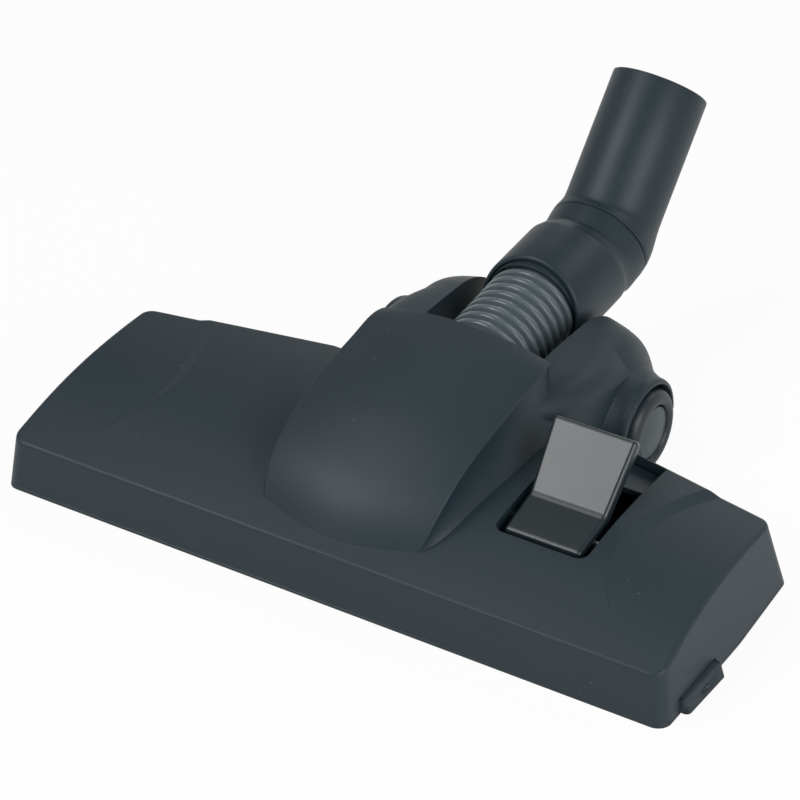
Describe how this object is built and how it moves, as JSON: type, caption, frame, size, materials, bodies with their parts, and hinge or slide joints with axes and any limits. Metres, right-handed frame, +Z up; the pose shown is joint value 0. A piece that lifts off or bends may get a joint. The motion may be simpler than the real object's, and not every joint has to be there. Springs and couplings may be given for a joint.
{
  "type": "vacuum floor brush head",
  "caption": "Wide vacuum floor head with a crowned hood, foot pedal for a drop-down brush, side wheels, corrugated hose and a tilting, swivelling tube socket.",
  "frame": {"origin": "on the floor, in the middle of the head's length and width", "axes": "+X to the right seen from the front, +Y towards the tube, +Z up"},
  "size_m": [0.2936, 0.2652, 0.114],
  "materials": {
    "housing": "fine matte grain",
    "sole": "satin",
    "lint": "short pile",
    "screw_steel": "zinc plated",
    "duct": "satin",
    "hose": "semi gloss",
    "cuff": "satin",
    "neck": "fine matte grain",
    "elbow": "fine matte grain",
    "ring": "satin",
    "pin_steel": "ground",
    "hub": "satin",
    "tyre": "matte",
    "hub_cap": "satin",
    "pedal": "satin",
    "carrier": "satin",
    "bristle": "nylon filament"
  },
  "bodies": {
    "base": {"top_housing": "housing", "sole_plate": "sole", "front_lint_strip": "lint", "rear_lint_strip": "lint", "sole_screws": "screw_steel", "suction_duct": "duct", "bellows_hose": "hose", "hose_front_cuff": "cuff", "axle_pin_left": "pin_steel", "axle_pin_right": "pin_steel", "pedal_pin": "pin_steel"},
    "neck": {"neck_collar": "neck", "hose_rear_cuff": "cuff"},
    "elbow": {"swivel_elbow": "elbow", "swivel_retaining_ring": "ring"},
    "left_wheel": {"wheel_left": "hub", "tyre_left": "tyre", "hub_cap_left": "hub_cap"},
    "right_wheel": {"wheel_right": "hub", "tyre_right": "tyre", "hub_cap_right": "hub_cap"},
    "foot_pedal": {"pedal": "pedal"},
    "brush": {"brush_carrier": "carrier", "front_bristles": "bristle", "rear_bristles": "bristle"}
  },
  "joints": [
    {"name": "neck_tilt", "type": "hinge", "parent": "base", "child": "neck", "pos_m": [0, 0.00897, 0.017], "axis": [1, 0, 0], "range_deg": [-20, 40], "deforming": ["bellows_hose"]},
    {"name": "elbow_swivel", "type": "hinge", "parent": "neck", "child": "elbow", "pos_m": [0, 0.06987, 0.0528], "axis": [0, 0.9397, 0.342], "range_deg": [-90, 90]},
    {"name": "left_wheel_roll", "type": "hinge", "parent": "base", "child": "left_wheel", "pos_m": [-0.053, 0.00897, 0.017], "axis": [1, 0, 0], "continuous": true},
    {"name": "right_wheel_roll", "type": "hinge", "parent": "base", "child": "right_wheel", "pos_m": [0.053, 0.00897, 0.017], "axis": [1, 0, 0], "continuous": true},
    {"name": "pedal_rock", "type": "hinge", "parent": "base", "child": "foot_pedal", "pos_m": [0.0718, -0.07863, 0.025], "axis": [1, 0, 0], "range_deg": [-25, 0]},
    {"name": "brush_drop", "type": "slide", "parent": "base", "child": "brush", "axis": [0, 0, 1], "range_m": [-0.00445, 0]}
  ],
  "couplings": [
    {"joint": "pedal_rock", "follows": "brush_drop", "rad_per_m": 97.5}
  ]
}
